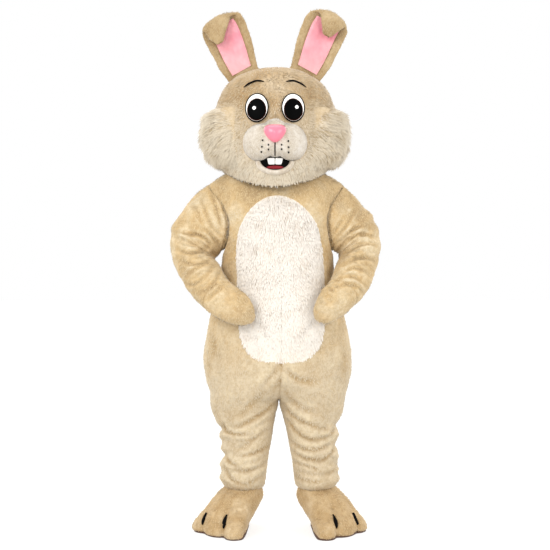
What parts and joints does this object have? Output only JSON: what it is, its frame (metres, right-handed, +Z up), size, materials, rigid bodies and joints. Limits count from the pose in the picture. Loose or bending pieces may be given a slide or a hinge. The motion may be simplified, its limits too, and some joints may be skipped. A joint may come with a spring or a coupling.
{
  "type": "rabbit mascot costume",
  "caption": "Plush rabbit costume for an adult wearer: padded animal head with ears, one-piece suit with pale belly, mitts and large soft feet.",
  "frame": {"origin": "between the wearer's shoulders, where the suit hangs, 1.45 m above the soles", "axes": "+Z up, -Y the way the costume faces, +X the wearer's left"},
  "size_m": [0.8776, 0.6087, 2.1406],
  "materials": {
    "tan_plush": "short woven plush, matt with a soft nap",
    "white_pelt": "longer off-white pile, matt",
    "black_felt": "matt wool felt",
    "cream_fur": "long cream-grey faux fur",
    "head_fur": "short brushed faux fur",
    "pink_satin": "satin weave with a soft sheen",
    "black_plastic": "gloss painted",
    "white_plastic": "gloss painted",
    "brown_plastic": "gloss painted",
    "pink_vinyl": "gloss vinyl over a padded core",
    "brown_sole": "matt rubberised fabric",
    "red_felt": "matt wool felt"
  },
  "bodies": {
    "root": {"back_fly": "tan_plush", "belly_left": "white_pelt", "belly_right": "white_pelt", "brow_left": "black_felt", "brow_right": "black_felt", "cheek_left": "cream_fur", "cheek_right": "cream_fur", "ear_left": "head_fur", "ear_lining_left": "pink_satin", "ear_lining_right": "pink_satin", "ear_right": "head_fur", "eye_rim_left": "black_plastic", "eye_rim_right": "black_plastic", "eye_white_left": "white_plastic", "eye_white_right": "white_plastic", "foot_left": "tan_plush", "foot_right": "tan_plush", "head_back": "head_fur", "head_front": "head_fur", "iris_left": "brown_plastic", "iris_right": "brown_plastic", "lower_lip": "head_fur", "mitt_left": "tan_plush", "mitt_right": "tan_plush", "mouth_lining": "black_felt", "muzzle": "head_fur", "nose": "pink_vinyl", "philtrum": "black_felt", "pupil_left": "black_plastic", "pupil_right": "black_plastic", "sleeve_left": "tan_plush", "sleeve_right": "tan_plush", "sole_left": "brown_sole", "sole_right": "brown_sole", "suit_back_left": "tan_plush", "suit_back_right": "tan_plush", "suit_front_left": "tan_plush", "suit_front_right": "tan_plush", "toe_mark_inner_left": "black_felt", "toe_mark_inner_right": "black_felt", "toe_mark_outer_left": "black_felt", "toe_mark_outer_right": "black_felt", "tongue": "red_felt", "tooth_left": "white_plastic", "tooth_right": "white_plastic"}
  },
  "joints": []
}
